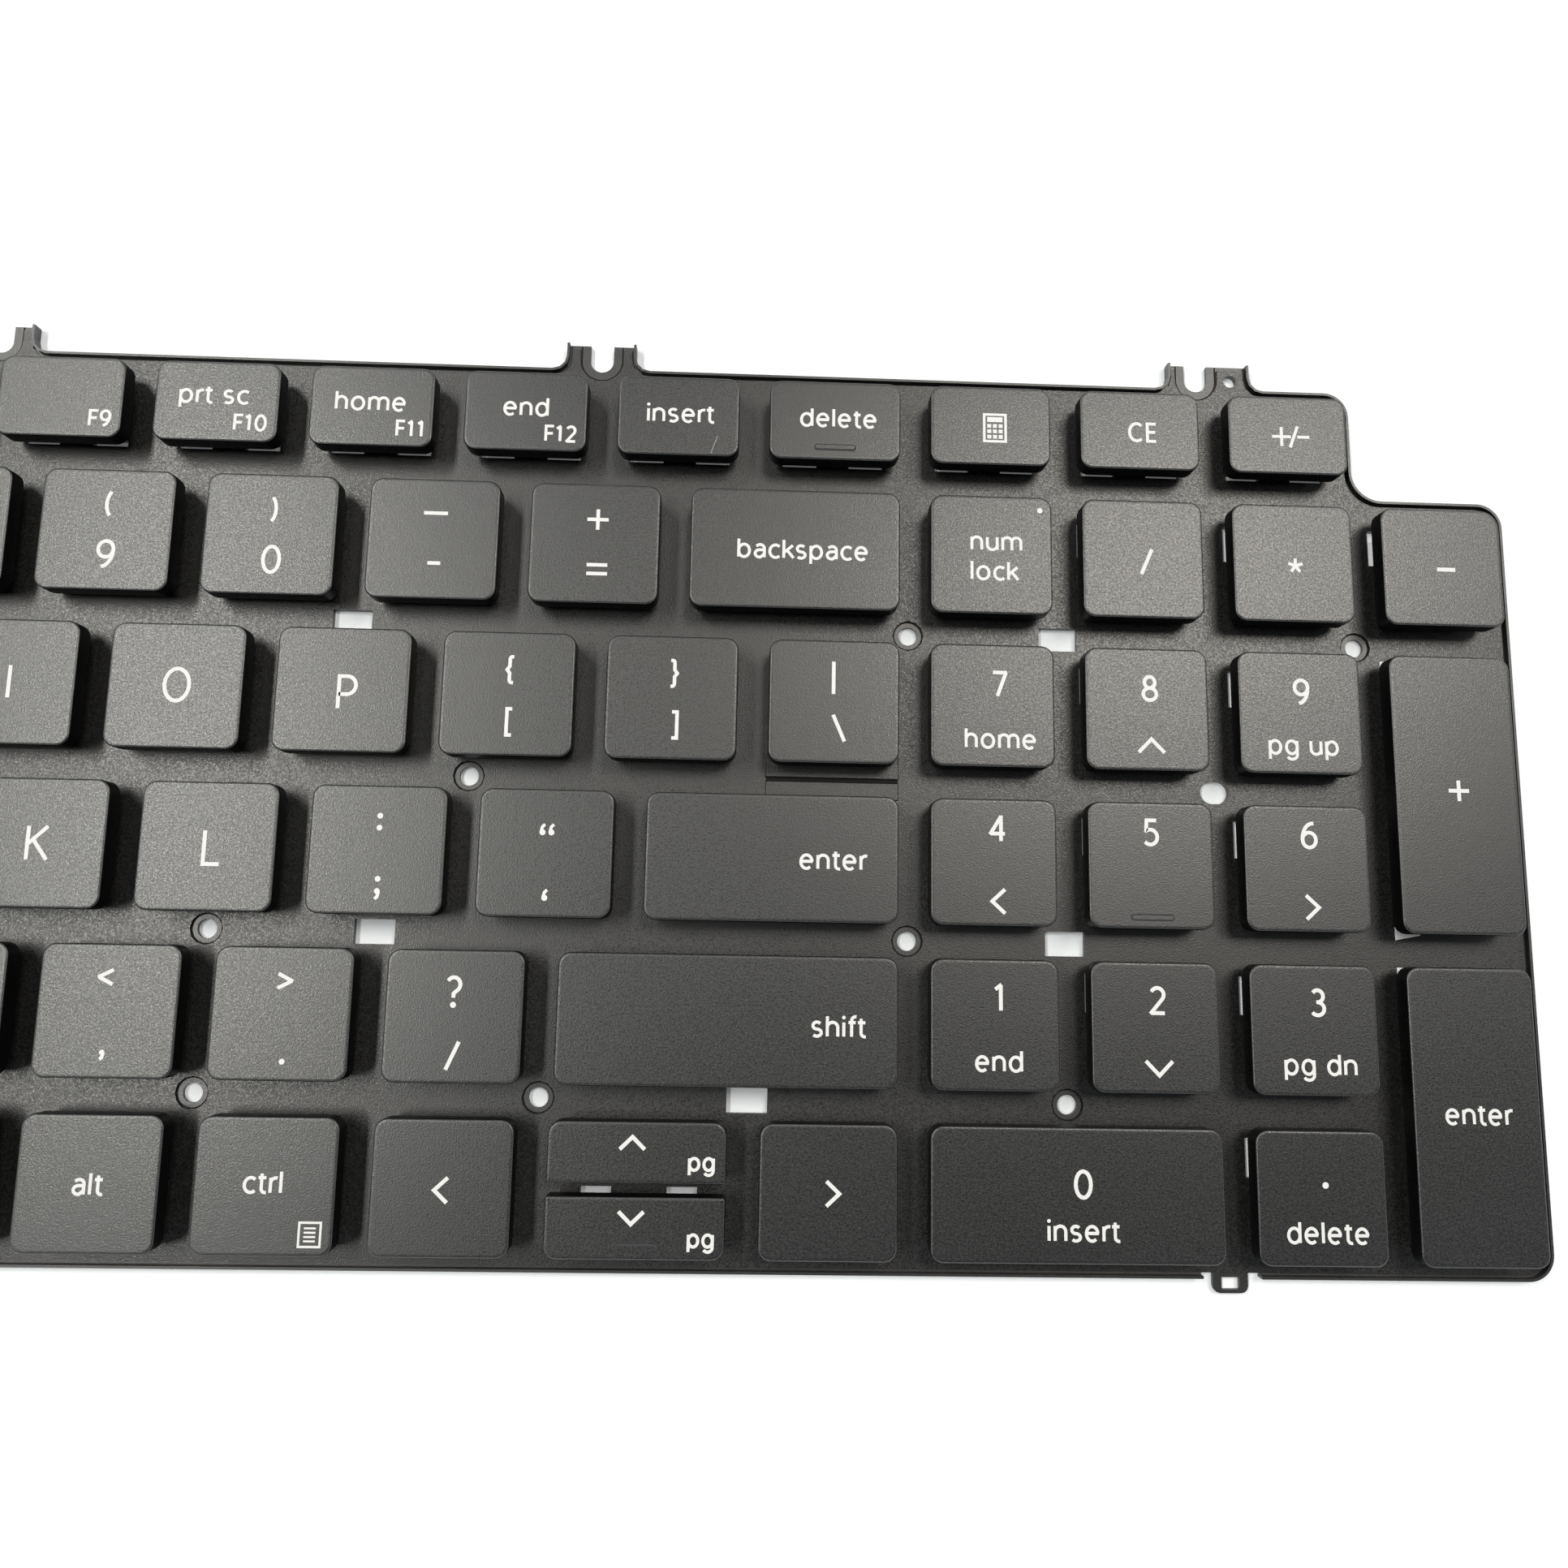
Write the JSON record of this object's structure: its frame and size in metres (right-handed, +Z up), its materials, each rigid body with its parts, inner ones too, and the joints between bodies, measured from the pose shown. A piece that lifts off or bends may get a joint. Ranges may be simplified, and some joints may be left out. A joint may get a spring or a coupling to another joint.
{
  "type": "laptop keyboard",
  "caption": "Black full-size laptop keyboard with number pad: low sprung keycaps on scissor links and rubber domes over a thin steel plate with notched screw tabs.",
  "frame": {"origin": "middle of the footprint, tabs included, on the flat underside of the plate", "axes": "+X to the right towards the number pad, +Y to the rear towards the function row, +Z up through the keycaps"},
  "size_m": [0.3434, 0.1098, 0.0049],
  "materials": {
    "plate": "thin black coat on steel",
    "sheet": "fine matt film",
    "keycap": "fine leather-like grain, white printed legends",
    "dome": "matt",
    "link": "satin"
  },
  "bodies": {
    "base": {"base_plate": "plate", "cover_sheet": "sheet", "rubber_domes": "dome", "outer_links": "link", "inner_links": "link", "left_keys": "keycap"},
    "key_0_body": {"key_0": "keycap"},
    "key_9_body": {"key_9": "keycap"},
    "key_alt_right_body": {"key_alt_right": "keycap"},
    "key_arrow_down_body": {"key_arrow_down": "keycap"},
    "key_arrow_left_body": {"key_arrow_left": "keycap"},
    "key_arrow_right_body": {"key_arrow_right": "keycap"},
    "key_arrow_up_body": {"key_arrow_up": "keycap"},
    "key_backslash_body": {"key_backslash": "keycap"},
    "key_backspace_body": {"key_backspace": "keycap"},
    "key_bracket_close_body": {"key_bracket_close": "keycap"},
    "key_bracket_open_body": {"key_bracket_open": "keycap"},
    "key_calculator_body": {"key_calculator": "keycap"},
    "key_clear_entry_body": {"key_clear_entry": "keycap"},
    "key_comma_body": {"key_comma": "keycap"},
    "key_ctrl_right_body": {"key_ctrl_right": "keycap"},
    "key_delete_body": {"key_delete": "keycap"},
    "key_dot_body": {"key_dot": "keycap"},
    "key_enter_body": {"key_enter": "keycap"},
    "key_equals_body": {"key_equals": "keycap"},
    "key_f10_body": {"key_f10": "keycap"},
    "key_f11_body": {"key_f11": "keycap"},
    "key_f12_body": {"key_f12": "keycap"},
    "key_f9_body": {"key_f9": "keycap"},
    "key_insert_body": {"key_insert": "keycap"},
    "key_l_body": {"key_l": "keycap"},
    "key_minus_body": {"key_minus": "keycap"},
    "key_num_lock_body": {"key_num_lock": "keycap"},
    "key_o_body": {"key_o": "keycap"},
    "key_p_body": {"key_p": "keycap"},
    "key_plus_minus_body": {"key_plus_minus": "keycap"},
    "key_quote_body": {"key_quote": "keycap"},
    "key_semicolon_body": {"key_semicolon": "keycap"},
    "key_shift_right_body": {"key_shift_right": "keycap"},
    "key_slash_body": {"key_slash": "keycap"},
    "pad_0_body": {"pad_0": "keycap"},
    "pad_1_body": {"pad_1": "keycap"},
    "pad_2_body": {"pad_2": "keycap"},
    "pad_3_body": {"pad_3": "keycap"},
    "pad_4_body": {"pad_4": "keycap"},
    "pad_5_body": {"pad_5": "keycap"},
    "pad_6_body": {"pad_6": "keycap"},
    "pad_7_body": {"pad_7": "keycap"},
    "pad_8_body": {"pad_8": "keycap"},
    "pad_9_body": {"pad_9": "keycap"},
    "pad_add_body": {"pad_add": "keycap"},
    "pad_divide_body": {"pad_divide": "keycap"},
    "pad_dot_body": {"pad_dot": "keycap"},
    "pad_enter_body": {"pad_enter": "keycap"},
    "pad_multiply_body": {"pad_multiply": "keycap"},
    "pad_subtract_body": {"pad_subtract": "keycap"}
  },
  "joints": [
    {"name": "key_0_press", "type": "slide", "parent": "base", "child": "key_0_body", "axis": [0, 0, -1], "range_m": [0, 0.0015], "stiffness_N_per_m": 300, "deforming": ["rubber_domes", "outer_links", "inner_links"]},
    {"name": "key_9_press", "type": "slide", "parent": "base", "child": "key_9_body", "axis": [0, 0, -1], "range_m": [0, 0.0015], "stiffness_N_per_m": 300, "deforming": ["rubber_domes", "outer_links", "inner_links"]},
    {"name": "key_alt_right_press", "type": "slide", "parent": "base", "child": "key_alt_right_body", "axis": [0, 0, -1], "range_m": [0, 0.0015], "stiffness_N_per_m": 300, "deforming": ["rubber_domes", "outer_links", "inner_links"]},
    {"name": "key_arrow_down_press", "type": "slide", "parent": "base", "child": "key_arrow_down_body", "axis": [0, 0, -1], "range_m": [0, 0.0015], "stiffness_N_per_m": 300, "deforming": ["rubber_domes", "outer_links", "inner_links"]},
    {"name": "key_arrow_left_press", "type": "slide", "parent": "base", "child": "key_arrow_left_body", "axis": [0, 0, -1], "range_m": [0, 0.0015], "stiffness_N_per_m": 300, "deforming": ["rubber_domes", "outer_links", "inner_links"]},
    {"name": "key_arrow_right_press", "type": "slide", "parent": "base", "child": "key_arrow_right_body", "axis": [0, 0, -1], "range_m": [0, 0.0015], "stiffness_N_per_m": 300, "deforming": ["rubber_domes", "outer_links", "inner_links"]},
    {"name": "key_arrow_up_press", "type": "slide", "parent": "base", "child": "key_arrow_up_body", "axis": [0, 0, -1], "range_m": [0, 0.0015], "stiffness_N_per_m": 300, "deforming": ["rubber_domes", "outer_links", "inner_links"]},
    {"name": "key_backslash_press", "type": "slide", "parent": "base", "child": "key_backslash_body", "axis": [0, 0, -1], "range_m": [0, 0.0015], "stiffness_N_per_m": 300, "deforming": ["rubber_domes", "outer_links", "inner_links"]},
    {"name": "key_backspace_press", "type": "slide", "parent": "base", "child": "key_backspace_body", "axis": [0, 0, -1], "range_m": [0, 0.0015], "stiffness_N_per_m": 300, "deforming": ["rubber_domes", "outer_links", "inner_links"]},
    {"name": "key_bracket_close_press", "type": "slide", "parent": "base", "child": "key_bracket_close_body", "axis": [0, 0, -1], "range_m": [0, 0.0015], "stiffness_N_per_m": 300, "deforming": ["rubber_domes", "outer_links", "inner_links"]},
    {"name": "key_bracket_open_press", "type": "slide", "parent": "base", "child": "key_bracket_open_body", "axis": [0, 0, -1], "range_m": [0, 0.0015], "stiffness_N_per_m": 300, "deforming": ["rubber_domes", "outer_links", "inner_links"]},
    {"name": "key_calculator_press", "type": "slide", "parent": "base", "child": "key_calculator_body", "axis": [0, 0, -1], "range_m": [0, 0.0015], "stiffness_N_per_m": 300, "deforming": ["rubber_domes", "outer_links", "inner_links"]},
    {"name": "key_clear_entry_press", "type": "slide", "parent": "base", "child": "key_clear_entry_body", "axis": [0, 0, -1], "range_m": [0, 0.0015], "stiffness_N_per_m": 300, "deforming": ["rubber_domes", "outer_links", "inner_links"]},
    {"name": "key_comma_press", "type": "slide", "parent": "base", "child": "key_comma_body", "axis": [0, 0, -1], "range_m": [0, 0.0015], "stiffness_N_per_m": 300, "deforming": ["rubber_domes", "outer_links", "inner_links"]},
    {"name": "key_ctrl_right_press", "type": "slide", "parent": "base", "child": "key_ctrl_right_body", "axis": [0, 0, -1], "range_m": [0, 0.0015], "stiffness_N_per_m": 300, "deforming": ["rubber_domes", "outer_links", "inner_links"]},
    {"name": "key_delete_press", "type": "slide", "parent": "base", "child": "key_delete_body", "axis": [0, 0, -1], "range_m": [0, 0.0015], "stiffness_N_per_m": 300, "deforming": ["rubber_domes", "outer_links", "inner_links"]},
    {"name": "key_dot_press", "type": "slide", "parent": "base", "child": "key_dot_body", "axis": [0, 0, -1], "range_m": [0, 0.0015], "stiffness_N_per_m": 300, "deforming": ["rubber_domes", "outer_links", "inner_links"]},
    {"name": "key_enter_press", "type": "slide", "parent": "base", "child": "key_enter_body", "axis": [0, 0, -1], "range_m": [0, 0.0015], "stiffness_N_per_m": 300, "deforming": ["rubber_domes", "outer_links", "inner_links"]},
    {"name": "key_equals_press", "type": "slide", "parent": "base", "child": "key_equals_body", "axis": [0, 0, -1], "range_m": [0, 0.0015], "stiffness_N_per_m": 300, "deforming": ["rubber_domes", "outer_links", "inner_links"]},
    {"name": "key_f10_press", "type": "slide", "parent": "base", "child": "key_f10_body", "axis": [0, 0, -1], "range_m": [0, 0.0015], "stiffness_N_per_m": 300, "deforming": ["rubber_domes", "outer_links", "inner_links"]},
    {"name": "key_f11_press", "type": "slide", "parent": "base", "child": "key_f11_body", "axis": [0, 0, -1], "range_m": [0, 0.0015], "stiffness_N_per_m": 300, "deforming": ["rubber_domes", "outer_links", "inner_links"]},
    {"name": "key_f12_press", "type": "slide", "parent": "base", "child": "key_f12_body", "axis": [0, 0, -1], "range_m": [0, 0.0015], "stiffness_N_per_m": 300, "deforming": ["rubber_domes", "outer_links", "inner_links"]},
    {"name": "key_f9_press", "type": "slide", "parent": "base", "child": "key_f9_body", "axis": [0, 0, -1], "range_m": [0, 0.0015], "stiffness_N_per_m": 300, "deforming": ["rubber_domes", "outer_links", "inner_links"]},
    {"name": "key_insert_press", "type": "slide", "parent": "base", "child": "key_insert_body", "axis": [0, 0, -1], "range_m": [0, 0.0015], "stiffness_N_per_m": 300, "deforming": ["rubber_domes", "outer_links", "inner_links"]},
    {"name": "key_l_press", "type": "slide", "parent": "base", "child": "key_l_body", "axis": [0, 0, -1], "range_m": [0, 0.0015], "stiffness_N_per_m": 300, "deforming": ["rubber_domes", "outer_links", "inner_links"]},
    {"name": "key_minus_press", "type": "slide", "parent": "base", "child": "key_minus_body", "axis": [0, 0, -1], "range_m": [0, 0.0015], "stiffness_N_per_m": 300, "deforming": ["rubber_domes", "outer_links", "inner_links"]},
    {"name": "key_num_lock_press", "type": "slide", "parent": "base", "child": "key_num_lock_body", "axis": [0, 0, -1], "range_m": [0, 0.0015], "stiffness_N_per_m": 300, "deforming": ["rubber_domes", "outer_links", "inner_links"]},
    {"name": "key_o_press", "type": "slide", "parent": "base", "child": "key_o_body", "axis": [0, 0, -1], "range_m": [0, 0.0015], "stiffness_N_per_m": 300, "deforming": ["rubber_domes", "outer_links", "inner_links"]},
    {"name": "key_p_press", "type": "slide", "parent": "base", "child": "key_p_body", "axis": [0, 0, -1], "range_m": [0, 0.0015], "stiffness_N_per_m": 300, "deforming": ["rubber_domes", "outer_links", "inner_links"]},
    {"name": "key_plus_minus_press", "type": "slide", "parent": "base", "child": "key_plus_minus_body", "axis": [0, 0, -1], "range_m": [0, 0.0015], "stiffness_N_per_m": 300, "deforming": ["rubber_domes", "outer_links", "inner_links"]},
    {"name": "key_quote_press", "type": "slide", "parent": "base", "child": "key_quote_body", "axis": [0, 0, -1], "range_m": [0, 0.0015], "stiffness_N_per_m": 300, "deforming": ["rubber_domes", "outer_links", "inner_links"]},
    {"name": "key_semicolon_press", "type": "slide", "parent": "base", "child": "key_semicolon_body", "axis": [0, 0, -1], "range_m": [0, 0.0015], "stiffness_N_per_m": 300, "deforming": ["rubber_domes", "outer_links", "inner_links"]},
    {"name": "key_shift_right_press", "type": "slide", "parent": "base", "child": "key_shift_right_body", "axis": [0, 0, -1], "range_m": [0, 0.0015], "stiffness_N_per_m": 300, "deforming": ["rubber_domes", "outer_links", "inner_links"]},
    {"name": "key_slash_press", "type": "slide", "parent": "base", "child": "key_slash_body", "axis": [0, 0, -1], "range_m": [0, 0.0015], "stiffness_N_per_m": 300, "deforming": ["rubber_domes", "outer_links", "inner_links"]},
    {"name": "pad_0_press", "type": "slide", "parent": "base", "child": "pad_0_body", "axis": [0, 0, -1], "range_m": [0, 0.0015], "stiffness_N_per_m": 300, "deforming": ["rubber_domes", "outer_links", "inner_links"]},
    {"name": "pad_1_press", "type": "slide", "parent": "base", "child": "pad_1_body", "axis": [0, 0, -1], "range_m": [0, 0.0015], "stiffness_N_per_m": 300, "deforming": ["rubber_domes", "outer_links", "inner_links"]},
    {"name": "pad_2_press", "type": "slide", "parent": "base", "child": "pad_2_body", "axis": [0, 0, -1], "range_m": [0, 0.0015], "stiffness_N_per_m": 300, "deforming": ["rubber_domes", "outer_links", "inner_links"]},
    {"name": "pad_3_press", "type": "slide", "parent": "base", "child": "pad_3_body", "axis": [0, 0, -1], "range_m": [0, 0.0015], "stiffness_N_per_m": 300, "deforming": ["rubber_domes", "outer_links", "inner_links"]},
    {"name": "pad_4_press", "type": "slide", "parent": "base", "child": "pad_4_body", "axis": [0, 0, -1], "range_m": [0, 0.0015], "stiffness_N_per_m": 300, "deforming": ["rubber_domes", "outer_links", "inner_links"]},
    {"name": "pad_5_press", "type": "slide", "parent": "base", "child": "pad_5_body", "axis": [0, 0, -1], "range_m": [0, 0.0015], "stiffness_N_per_m": 300, "deforming": ["rubber_domes", "outer_links", "inner_links"]},
    {"name": "pad_6_press", "type": "slide", "parent": "base", "child": "pad_6_body", "axis": [0, 0, -1], "range_m": [0, 0.0015], "stiffness_N_per_m": 300, "deforming": ["rubber_domes", "outer_links", "inner_links"]},
    {"name": "pad_7_press", "type": "slide", "parent": "base", "child": "pad_7_body", "axis": [0, 0, -1], "range_m": [0, 0.0015], "stiffness_N_per_m": 300, "deforming": ["rubber_domes", "outer_links", "inner_links"]},
    {"name": "pad_8_press", "type": "slide", "parent": "base", "child": "pad_8_body", "axis": [0, 0, -1], "range_m": [0, 0.0015], "stiffness_N_per_m": 300, "deforming": ["rubber_domes", "outer_links", "inner_links"]},
    {"name": "pad_9_press", "type": "slide", "parent": "base", "child": "pad_9_body", "axis": [0, 0, -1], "range_m": [0, 0.0015], "stiffness_N_per_m": 300, "deforming": ["rubber_domes", "outer_links", "inner_links"]},
    {"name": "pad_add_press", "type": "slide", "parent": "base", "child": "pad_add_body", "axis": [0, 0, -1], "range_m": [0, 0.0015], "stiffness_N_per_m": 300, "deforming": ["rubber_domes", "outer_links", "inner_links"]},
    {"name": "pad_divide_press", "type": "slide", "parent": "base", "child": "pad_divide_body", "axis": [0, 0, -1], "range_m": [0, 0.0015], "stiffness_N_per_m": 300, "deforming": ["rubber_domes", "outer_links", "inner_links"]},
    {"name": "pad_dot_press", "type": "slide", "parent": "base", "child": "pad_dot_body", "axis": [0, 0, -1], "range_m": [0, 0.0015], "stiffness_N_per_m": 300, "deforming": ["rubber_domes", "outer_links", "inner_links"]},
    {"name": "pad_enter_press", "type": "slide", "parent": "base", "child": "pad_enter_body", "axis": [0, 0, -1], "range_m": [0, 0.0015], "stiffness_N_per_m": 300, "deforming": ["rubber_domes", "outer_links", "inner_links"]},
    {"name": "pad_multiply_press", "type": "slide", "parent": "base", "child": "pad_multiply_body", "axis": [0, 0, -1], "range_m": [0, 0.0015], "stiffness_N_per_m": 300, "deforming": ["rubber_domes", "outer_links", "inner_links"]},
    {"name": "pad_subtract_press", "type": "slide", "parent": "base", "child": "pad_subtract_body", "axis": [0, 0, -1], "range_m": [0, 0.0015], "stiffness_N_per_m": 300, "deforming": ["rubber_domes", "outer_links", "inner_links"]}
  ]
}
